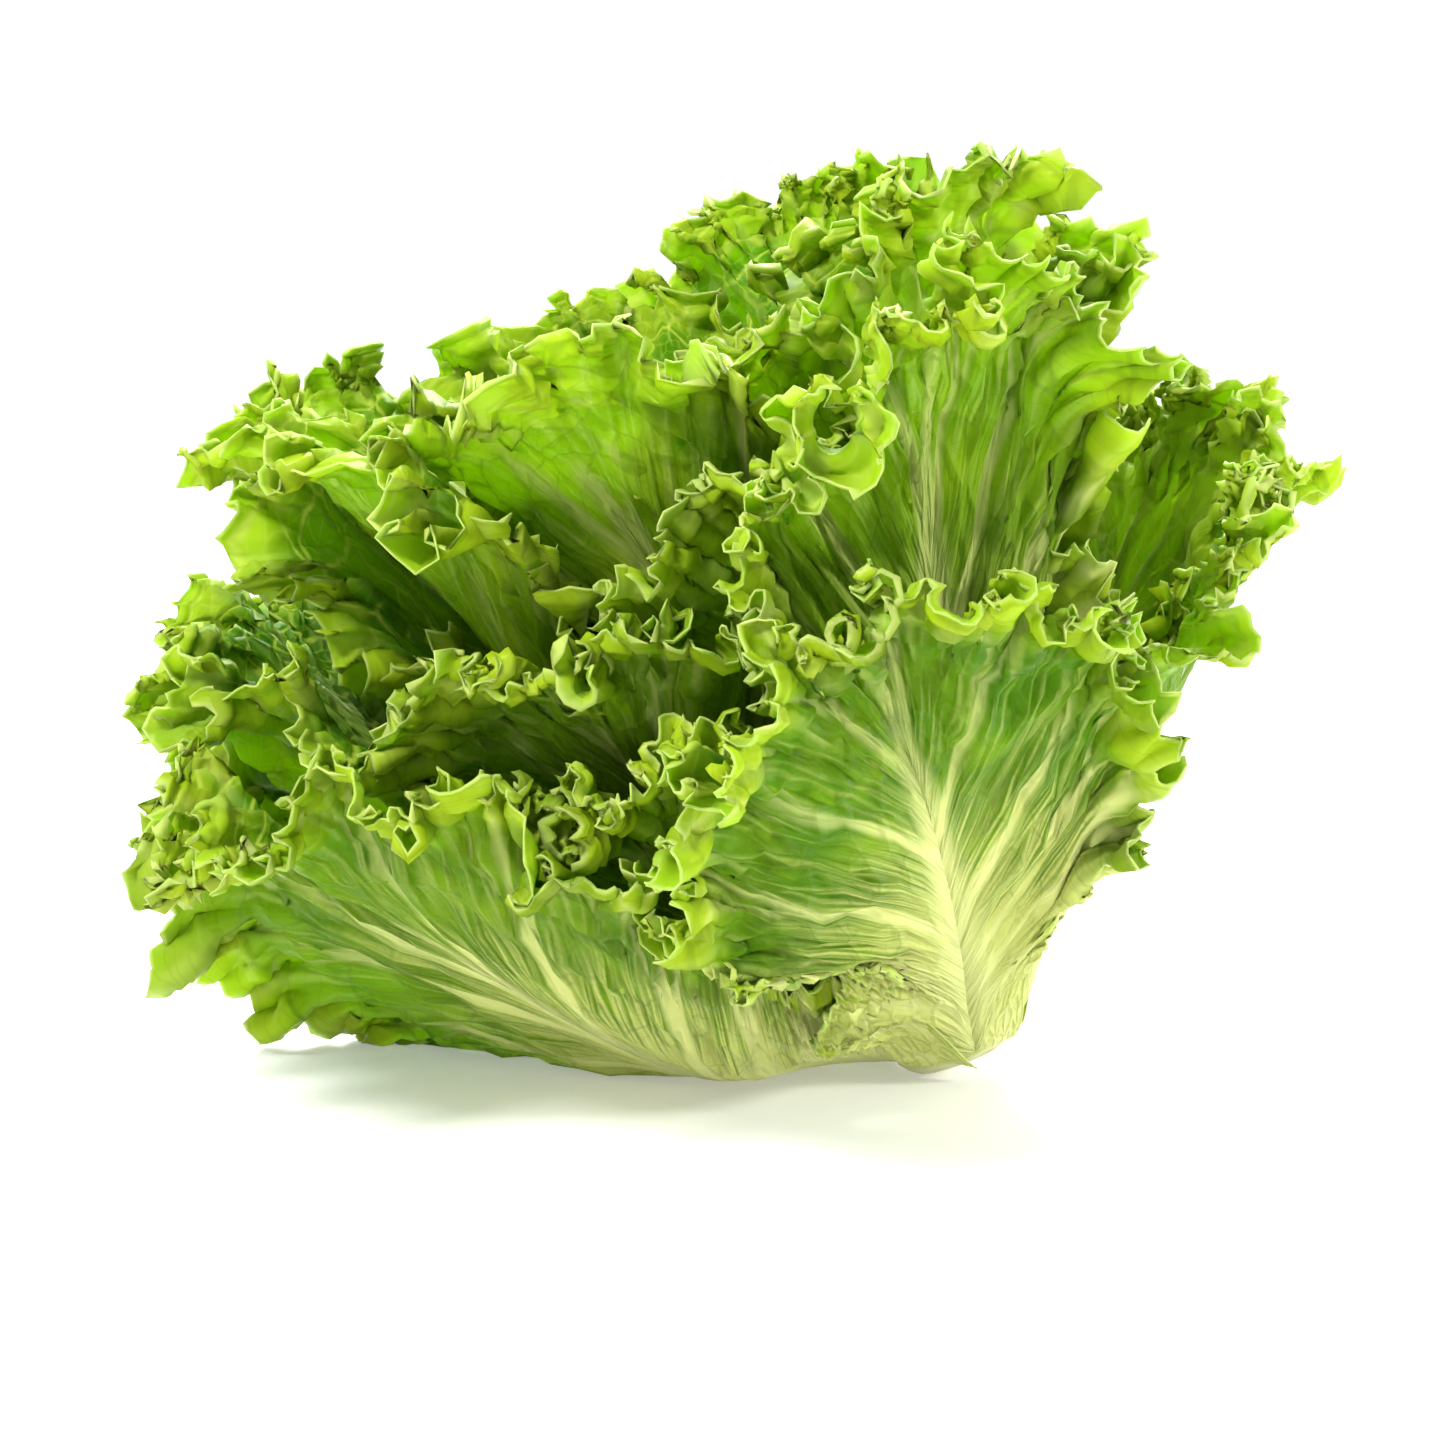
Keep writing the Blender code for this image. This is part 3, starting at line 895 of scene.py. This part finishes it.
    def thicken(self, obj: Object, thick: Array) -> None:
        """Joins the two halves at the midrib and gives the blade its thickness on the outer face.

        Args:
            obj: The leaf's inner face.
            thick: The thickness at each point, in metres.
        """
        most = float(thick.max())
        group = obj.vertex_groups.new(name="thickness")
        levels = np.round(thick / most, 3)
        for level in np.unique(levels):
            group.add(np.flatnonzero(levels == level).tolist(), float(level), "REPLACE")
        with editing():
            bpy.ops.mesh.select_all(action="SELECT")
            bpy.ops.mesh.remove_doubles(threshold=1e-5)
        shell = obj.modifiers.new("blade", "SOLIDIFY")
        shell.thickness = most
        shell.offset = 1
        shell.vertex_group = group.name
        shell.use_even_offset = False
        shell.use_quality_normals = True
        bpy.ops.object.modifier_apply(modifier=shell.name)
        obj.vertex_groups.clear()

    def finish_mesh(self, obj: Object) -> None:
        """Keeps the shell off the surface, gives each face its finish and smooths the shading.

        Args:
            obj: The leaf's closed shell.
        """
        mesh = obj.data
        places = places_of(mesh)
        places[:, 2] = np.maximum(places[:, 2], 0)
        put(mesh, places)
        half = len(mesh.vertices) // 2
        index = [int(min(face.vertices) >= half) for face in mesh.polygons]
        mesh.polygons.foreach_set("material_index", index)
        bpy.ops.object.shade_smooth()
        mesh.update()


@dataclass
class Stem:
    """The short cut stem that the leaves grow from."""

    growth: Growth
    middle: Array
    sides: int = 96
    rows: int = 40
    cut_rings: int = 14
    rings_reach: float = 0.9
    scar_depth: float = 0.0005
    dish_depth: float = 0.0010
    dish_roughness: float = 0.0004
    roughness_scale: float = 300

    def build(self, finish: Material) -> Object:
        """Models the stem from a round bar, shaped by the solid's outline and cut flat at the surface.

        Args:
            finish: The stem's finish.

        Returns:
            The finished stem.
        """
        bpy.ops.object.select_all(action="DESELECT")
        bpy.ops.mesh.primitive_cylinder_add(vertices=self.sides, radius=1, depth=2, end_fill_type="NGON")
        obj = bpy.context.object
        obj.name = obj.data.name = "stem_cut"
        self.split_rings(obj)
        mesh = obj.data
        points = self.shaped(places_of(mesh))
        put(mesh, self.growth.lay_down(points) + self.middle)
        depth = mesh.attributes.new("depth", "FLOAT", "POINT")
        depth.data.foreach_set("value", points[:, 2].astype(np.float32) * 100)
        self.trim()
        mesh.materials.append(finish)
        bpy.ops.object.shade_smooth_by_angle(angle=math.radians(50))
        return obj

    def split_rings(self, obj: Object) -> None:
        """Insets the two end faces in rings and splits the side in rows.

        Args:
            obj: The round bar.
        """
        with editing():
            for _ in range(self.cut_rings):
                choose_faces(obj, lambda face: len(face.verts) > 4)
                bpy.ops.mesh.inset(thickness=self.rings_reach / self.cut_rings, use_even_offset=False)
            for row in range(1, self.rows):
                bpy.ops.mesh.select_all(action="SELECT")
                height = -1 + 2 * row / self.rows
                bpy.ops.mesh.bisect(plane_co=(0, 0, height), plane_no=(0, 0, 1))

    def shaped(self, places: Array) -> Array:
        """The bar's points on the stem's outline, with low scars round it and a hollowed, rough cut.

        Args:
            places: The bar's points.

        Returns:
            The stem's points in the upright head.
        """
        height = (places[:, 2] + 1) / 2 * self.growth.stem_heights[-1]
        radius = np.interp(height, self.growth.stem_heights, self.growth.stem_radii)
        share = np.hypot(places[:, 0], places[:, 1])
        turn = np.arctan2(places[:, 1], places[:, 0])
        scale = self.roughness_scale
        rough = self.scar_depth * ripples(5, turn * 5, height * scale) * smoothly(share, 0.8, 1)
        x, y = (radius * share - rough) * np.cos(turn), (radius * share - rough) * np.sin(turn)
        cut = smoothly(-places[:, 2], 0.999, 1.0) * (1 - smoothly(share, 0.75, 0.95))
        dished = self.dish_depth + self.dish_roughness * ripples(6, x * scale, y * scale)
        return np.column_stack([x, y, height + cut * dished])

    @staticmethod
    def trim() -> None:
        """Cuts off what lies below the surface."""
        with editing():
            bpy.ops.mesh.select_all(action="SELECT")
            bpy.ops.mesh.bisect(
                plane_co=(0, 0, 0), plane_no=(0, 0, -1), clear_outer=True, use_fill=True, threshold=1e-6
            )
            bpy.ops.mesh.select_all(action="SELECT")
            bpy.ops.mesh.normals_make_consistent(inside=False)


@dataclass(frozen=True)
class Number:
    """A shader value that sums, differences and products can be written with."""

    paint: "Paint"
    socket: Any

    def maths(self, operation: str, *values: Any) -> "Number":
        """One Math node on values in their order."""
        node = self.paint.node("ShaderNodeMath", {"operation": operation}, dict(enumerate(values)))
        return Number(self.paint, node.outputs[0])

    def __add__(self, other: Any) -> "Number":
        """Sum."""
        return self.maths("ADD", self, other)

    __radd__ = __add__

    def __sub__(self, other: Any) -> "Number":
        """Difference."""
        return self.maths("SUBTRACT", self, other)

    def __rsub__(self, other: Any) -> "Number":
        """Difference from a plain number."""
        return self.maths("SUBTRACT", other, self)

    def __mul__(self, other: Any) -> "Number":
        """Product."""
        return self.maths("MULTIPLY", self, other)

    __rmul__ = __mul__

    def most(self, other: Any) -> "Number":
        """The larger of two values."""
        return self.maths("MAXIMUM", self, other)

    def step(self, low: float, high: float) -> "Number":
        """0 below low, 1 above high, and a smooth step between. Low may be the larger one.

        Args:
            low: Where the step starts.
            high: Where it ends.

        Returns:
            The stepped value.
        """
        inputs = {"Value": self, "From Min": low, "From Max": high}
        node = self.paint.node("ShaderNodeMapRange", {"interpolation_type": "SMOOTHSTEP"}, inputs)
        return Number(self.paint, node.outputs[0])


class Paint:
    """The nodes of a material or of the surround, made one by one."""

    def __init__(self, owner: Any) -> None:
        """Starts with no nodes.

        Args:
            owner: The material or the world that holds the nodes.
        """
        self.owner = owner
        owner.use_nodes = True
        self.tree = owner.node_tree
        self.tree.nodes.clear()

    def node(self, kind: str, settings: dict[str, Any], inputs: dict[Any, Any]) -> Any:
        """Makes a node.

        Args:
            kind: The node's type.
            settings: Its properties, set before its sockets.
            inputs: Values or links for its sockets, by name or number.

        Returns:
            The node.
        """
        made = self.tree.nodes.new(kind)
        for key, value in settings.items():
            setattr(made, key, value)
        for key, value in inputs.items():
            source = value.socket if isinstance(value, Number) else value
            if isinstance(source, bpy.types.NodeSocket):
                self.tree.links.new(source, made.inputs[key])
            else:
                made.inputs[key].default_value = source
        return made

    def point_value(self, name: str) -> Number:
        """A value that the mesh holds for each point."""
        node = self.node("ShaderNodeAttribute", {"attribute_name": name}, {})
        return Number(self, node.outputs["Fac"])

    def chart(self, name: str, scale: Place) -> Any:
        """A flat map's coordinates, scaled."""
        chart = self.node("ShaderNodeUVMap", {"uv_map": name}, {}).outputs[0]
        return self.node("ShaderNodeVectorMath", {"operation": "MULTIPLY"}, {0: chart, 1: scale}).outputs[0]

    def noise(self, place: Any, scale: float, detail: float = 2.0, flat: bool = True) -> Number:
        """Noise from 0 to 1 over a place.

        Args:
            place: Coordinates.
            scale: Bumps for one unit of them.
            detail: How many finer layers are added.
            flat: Whether two coordinates are read, not three.

        Returns:
            The noise.
        """
        inputs = {"Vector": place, "Scale": scale, "Detail": detail}
        settings = {"noise_dimensions": "2D" if flat else "3D"}
        return Number(self, self.node("ShaderNodeTexNoise", settings, inputs).outputs[0])

    def warped(self, place: Any, scale: float, amount: float) -> Any:
        """A place pushed about by noise.

        Args:
            place: Coordinates.
            scale: Bumps for one unit of them.
            amount: How far the noise pushes.

        Returns:
            The pushed coordinates.
        """
        values = {"Vector": place, "Scale": scale, "Detail": 1.0}
        push = self.node("ShaderNodeTexNoise", {"noise_dimensions": "2D"}, values).outputs[1]
        inputs = {0: push, 1: (amount, amount, 0), 2: place}
        return self.node("ShaderNodeVectorMath", {"operation": "MULTIPLY_ADD"}, inputs).outputs[0]

    def net(self, place: Any, scale: float) -> Number:
        """The distance to the nearest thread of an irregular net, in cells.

        Args:
            place: Coordinates.
            scale: Cells for one unit of them.

        Returns:
            0 on a thread.
        """
        settings = {"feature": "DISTANCE_TO_EDGE", "voronoi_dimensions": "2D"}
        node = self.node("ShaderNodeTexVoronoi", settings, {"Vector": place, "Scale": scale})
        return Number(self, node.outputs[0])

    def blend(self, share: Any, first: Any, second: Any) -> Any:
        """One colour at share 0, the other at share 1."""
        inputs = {0: share, 6: first, 7: second}
        return self.node("ShaderNodeMix", {"data_type": "RGBA"}, inputs).outputs[2]

    def bumps(self, height: Number, strength: float, distance: float) -> Any:
        """Small bumps on the surface, by a height."""
        inputs = {"Strength": strength, "Distance": distance, "Height": height}
        return self.node("ShaderNodeBump", {}, inputs).outputs[0]

    def body(self, inputs: dict[str, Any]) -> Any:
        """A body's own shader."""
        return self.node("ShaderNodeBsdfPrincipled", {}, inputs).outputs[0]

    def surface(self, shader: Any) -> Material:
        """Ends the material with its shader."""
        self.node("ShaderNodeOutputMaterial", {}, {"Surface": shader})
        return self.owner


@dataclass(frozen=True)
class LeafFinish:
    """One face of the leaves: blade, ribs, net of veins, pale foot and bright edge, with pale streaks of
    painted sheen, and on the outer face vein lines darkened as painted shade.
    """

    face: Face
    deep: Colour
    fresh: Colour
    lime: Colour
    rib: Colour
    # Colour and strength of the vein lines; the outer face's darker lines are partly painted shade.
    vein: Colour
    vein_and_shade_strength: float
    foot: Colour
    olive: Colour
    olive_share: float
    translucency: float
    roughness: float
    relief: float
    edge: Colour = (0.760, 0.820, 0.300, 1)
    lit_through: Colour = (0.580, 0.900, 0.010, 1)
    grain_scale: Place = (2.6, 7.0, 1)
    streak_scale: Place = (16, 3, 1)
    fibre_scale: Place = (26, 1.6, 1)
    net_scale: float = 24.0
    blotch_scale: float = 5.0
    patch_scale: float = 3.4
    bump_distance: float = 0.0016
    refraction: float = 1.42
    shine: float = 0.24
    shine_tint: Colour = (0.90, 1.0, 0.30, 1)

    def build(self) -> Material:
        """Makes the finish.

        Returns:
            The material.
        """
        paint = Paint(bpy.data.materials.new(f"leaf_{self.face.name.lower()}_face"))
        rib, pale, inward, tone = (paint.point_value(name) for name in POINT_VALUES)
        flat = paint.chart("flat", (1, 1, 1))
        grain = paint.warped(paint.chart("grain", self.grain_scale), 1.4, 0.35)
        mesh = paint.warped(flat, 9.0, 0.035)
        coarse, fine = paint.net(grain, 1.0), paint.net(mesh, self.net_scale)
        threads = coarse.step(0.070, 0.012) * 0.95
        threads = threads.most(fine.step(0.075, 0.015) * 0.42) * (1 - rib)
        blotch = paint.noise(flat, self.blotch_scale, 1.5)
        # Streaks along the grain: painted sheen in the colour, and real relief and roughness further down.
        streak = paint.noise(paint.chart("grain", self.streak_scale), 1.0, 1.5)

        # Lightness of the blade: the leaf's tone with its painted light, random blotches, and a lighter band
        # near the edge.
        bright = (tone + (blotch - 0.5) * 0.6 + inward.step(2.7, 0.1) * 0.62).step(0.0, 1.0)
        blade = paint.blend(bright.step(0.0, 0.5), self.deep, self.fresh)
        blade = paint.blend(bright.step(0.45, 1.0), blade, self.lime)
        patch = paint.noise(flat, self.patch_scale, 0.0)
        blade = paint.blend(patch.step(0.50, 0.30) * self.olive_share, blade, self.olive)
        # Pale streaks blended in: painted sheen, standing in for glossy highlights.
        blade = paint.blend(streak.step(0.45, 0.75) * 0.30, blade, self.foot)
        fibres = paint.noise(paint.chart("grain", self.fibre_scale), 1.0, 1.0)
        whitened = (pale + (fibres - 0.5) * 1.3 * pale.step(0.02, 0.35)).step(0.08, 0.80)
        blade = paint.blend(whitened, blade, self.foot)
        # The net of veins; on the outer face its lines are painted darker, as shade beside the raised veins.
        veined_and_shaded = paint.blend(threads * self.vein_and_shade_strength, blade, self.vein)
        whiter = (rib * 1.15).step(0.05, 0.95) * (0.35 + 0.65 * pale.step(0.0, 0.4))
        ribbed = paint.blend(whiter, veined_and_shaded, self.rib)
        colour = paint.blend(inward.step(0.13, 0.0) * 0.62, ribbed, self.edge)

        pillow = coarse.step(0.0, 0.30) * -0.8
        height = pillow * self.face.value + (streak - 0.5) * 0.9
        roughness = self.roughness + (blotch - 0.5) * 0.22 + streak.step(0.6, 0.3) * 0.06
        inputs = {
            "Base Color": colour,
            "Roughness": roughness,
            "IOR": self.refraction,
            "Specular IOR Level": self.shine,
            "Specular Tint": self.shine_tint,
            "Normal": paint.bumps(height, self.relief, self.bump_distance),
        }
        body = paint.body(inputs)
        through = paint.node("ShaderNodeBsdfTranslucent", {}, {"Color": self.lit_through})
        share = (1 - rib * 0.75) * (1 - 0.55 * pale) * self.translucency
        share = share * (1 - threads * 0.35)
        mixed = paint.node("ShaderNodeMixShader", {}, {0: share, 1: body, 2: through.outputs[0]})
        return paint.surface(mixed.outputs[0])


@dataclass(frozen=True)
class StemFinish:
    """The stem: pale skin, and a damp cut face that browns at its rim."""

    skin: Colour = (0.66, 0.72, 0.36, 1)
    flesh: Colour = (0.74, 0.72, 0.42, 1)
    browned: Colour = (0.42, 0.24, 0.09, 1)
    roughness: float = 0.42
    spot_scale: float = 160.0
    fine_scale: float = 900.0
    relief: float = 0.35
    bump_distance: float = 0.0006

    def build(self) -> Material:
        """Makes the finish.

        Returns:
            The material.
        """
        paint = Paint(bpy.data.materials.new("stem_skin_and_cut"))
        place = paint.node("ShaderNodeTexCoord", {}, {}).outputs["Object"]
        spots = paint.noise(place, self.spot_scale, 3.0, flat=False)
        fine = paint.noise(place, self.fine_scale, 2.0, flat=False)
        cut = paint.point_value("depth").step(0.16, 0.02)
        skin = paint.blend(spots.step(0.45, 0.8) * 0.4, self.skin, self.flesh)
        colour = paint.blend(cut, skin, self.flesh)
        colour = paint.blend(cut * spots.step(0.35, 0.75) * 0.75, colour, self.browned)
        inputs = {
            "Base Color": colour,
            "Roughness": self.roughness + (fine - 0.5) * 0.2,
            "Normal": paint.bumps(spots * 0.6 + fine * 0.4, self.relief, self.bump_distance),
        }
        return paint.surface(paint.body(inputs))


INNER_FACE = LeafFinish(
    face=Face.INNER,
    deep=(0.008, 0.085, 0.001, 1),
    fresh=(0.080, 0.290, 0.002, 1),
    lime=(0.430, 0.620, 0.020, 1),
    rib=(0.560, 0.700, 0.150, 1),
    vein=(0.560, 0.700, 0.080, 1),
    vein_and_shade_strength=0.85,
    foot=(0.520, 0.660, 0.200, 1),
    olive=(0.020, 0.150, 0.001, 1),
    olive_share=0.5,
    translucency=0.44,
    roughness=0.36,
    relief=0.55,
)
OUTER_FACE = LeafFinish(
    face=Face.OUTER,
    deep=(0.052, 0.172, 0.002, 1),
    fresh=(0.200, 0.360, 0.006, 1),
    lime=(0.460, 0.620, 0.018, 1),
    rib=(0.730, 0.780, 0.270, 1),
    # Dark lines along the outer face's veins: real veins, painted darker as shade beside them.
    vein=(0.095, 0.200, 0.008, 1),
    vein_and_shade_strength=0.38,
    foot=(0.700, 0.740, 0.210, 1),
    olive=(0.110, 0.210, 0.004, 1),
    olive_share=0.55,
    translucency=0.38,
    roughness=0.33,
    relief=0.60,
)


@dataclass(frozen=True)
class Lamp:
    """One soft light: where it stands, what it shines at, its side and its power."""

    name: str
    place: Place
    side: float
    power: float
    aim: Place = (0, 0, 0.11)


@dataclass
class Studio:
    """The plain floor, the soft light and the camera."""

    camera_distance: float = 0.90
    camera_elevation: float = math.radians(10)
    camera_height: float = 0.0955
    camera_angle: float = math.radians(23.4)
    floor_side: float = 8.0
    floor_grey: Colour = (0.90, 0.90, 0.90, 1)
    floor_roughness: float = 0.75
    floor_glow: float = 0.26
    glow_spread: float = 0.8
    front_glow: float = 0.34
    back_glow: float = 1.30
    floor_drop: float = 0.0002
    light_bounces: int = 3
    lamps: tuple[Lamp, ...] = (
        Lamp("back_light", (0.15, 0.95, 1.05), 0.8, 34),
        Lamp("key_light", (-0.75, -0.65, 1.25), 0.4, 24),
        Lamp("side_light", (1.25, -0.45, 0.70), 0.25, 12),
    )

    def build(self) -> None:
        """Sets up everything round the object."""
        self.floor()
        self.world()
        for lamp in self.lamps:
            self.light(lamp)
        self.camera()
        bpy.context.scene.view_settings.view_transform = "Standard"
        paths = bpy.context.scene.cycles
        paths.max_bounces = self.light_bounces
        paths.diffuse_bounces = self.light_bounces

    def floor(self) -> None:
        """A wide pale floor just under the head."""
        bpy.ops.object.select_all(action="DESELECT")
        bpy.ops.mesh.primitive_plane_add(size=self.floor_side, location=(0, 0, -self.floor_drop))
        floor = bpy.context.object
        floor.name = "floor"
        paint = Paint(bpy.data.materials.new("pale_floor"))
        inputs = {"Base Color": self.floor_grey, "Roughness": self.floor_roughness}
        inputs |= {"Emission Color": (1, 1, 1, 1), "Emission Strength": self.floor_glow}
        floor.data.materials.append(paint.surface(paint.body(inputs)))

    def world(self) -> None:
        """An even white surround."""
        paint = Paint(bpy.data.worlds.new("surround"))
        place = paint.node("ShaderNodeTexCoord", {}, {}).outputs["Generated"]
        parts = paint.node("ShaderNodeSeparateXYZ", {}, {0: place})
        inputs = {"Value": parts.outputs["Y"], "From Min": -self.glow_spread, "From Max": self.glow_spread}
        inputs |= {"To Min": self.front_glow, "To Max": self.back_glow}
        spread = paint.node("ShaderNodeMapRange", {}, inputs).outputs[0]
        seen = paint.node("ShaderNodeLightPath", {}, {}).outputs["Is Camera Ray"]
        glow = paint.node("ShaderNodeMix", {}, {0: seen, 2: spread, 3: 1.0}).outputs[0]
        inputs = {"Color": (1, 1, 1, 1), "Strength": glow}
        light = paint.node("ShaderNodeBackground", {}, inputs).outputs[0]
        paint.node("ShaderNodeOutputWorld", {}, {"Surface": light})
        bpy.context.scene.world = paint.owner

    def light(self, lamp: Lamp) -> None:
        """One square soft light.

        Args:
            lamp: Its place, aim, side and power.
        """
        data = bpy.data.lights.new(lamp.name, "AREA")
        data.size = lamp.side
        data.energy = lamp.power
        self.stand(data, Vector(lamp.place), Vector(lamp.aim))

    def camera(self) -> None:
        """The camera, a little above the head and straight in front of it."""
        data = bpy.data.cameras.new("camera")
        data.angle = self.camera_angle
        aim = Vector((0, 0, self.camera_height))
        cos, sin = math.cos(self.camera_elevation), math.sin(self.camera_elevation)
        place = aim + Vector((0, -cos, sin)) * self.camera_distance
        bpy.context.scene.camera = self.stand(data, place, aim)

    @staticmethod
    def stand(data: Any, place: Vector, aim: Vector) -> Object:
        """Stands a lamp or the camera at a place, turned to its aim.

        Args:
            data: The lamp's or the camera's data.
            place: Where it stands.
            aim: What it faces.

        Returns:
            The object, in the scene.
        """
        obj = bpy.data.objects.new(data.name, data)
        obj.location = place
        obj.rotation_euler = (aim - place).to_track_quat("-Z", "Y").to_euler()
        bpy.context.scene.collection.objects.link(obj)
        return obj


def detail_of(number: int) -> Detail:
    """How fine a leaf's mesh is, by its number.

    Args:
        number: The leaf's number, from the outermost.

    Returns:
        The mesh's detail.
    """
    if number in (1, 3, 6, 9):
        return Detail.FRONT
    if number in (4, 7, 8, 10, 11, 13, 14, 15):
        return Detail.SHOWN
    return Detail.INSIDE if number < 18 else Detail.HEART


def hand_over(piece: Object, node: str) -> None:
    """Puts a finished piece in its solid's place and reports it.

    Args:
        piece: The finished piece.
        node: The solid it replaces.
    """
    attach(piece, BODY)
    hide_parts(node)
    sides = [len(face.vertices) - 2 for face in piece.data.polygons]
    log.info("%s: %d triangles for %s", piece.name, sum(sides), node)


def main() -> None:
    """Builds the head and everything round it."""
    logging.basicConfig(level=logging.INFO, format="%(message)s")
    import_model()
    growth = Growth()
    middle = growth.middle()
    finishes = [INNER_FACE.build(), OUTER_FACE.build()]
    tones = np.random.default_rng(growth.seed).uniform(-0.08, 0.08, growth.leaf_count)
    for number in range(1, growth.leaf_count + 1):
        leaf = Leaf(growth, number, detail_of(number), middle, tones[number - 1])
        hand_over(leaf.build(finishes), leaf.name)
    hand_over(Stem(growth, middle).build(StemFinish().build()), "stem")
    Studio().build()


if __name__ == "__main__":
    main()
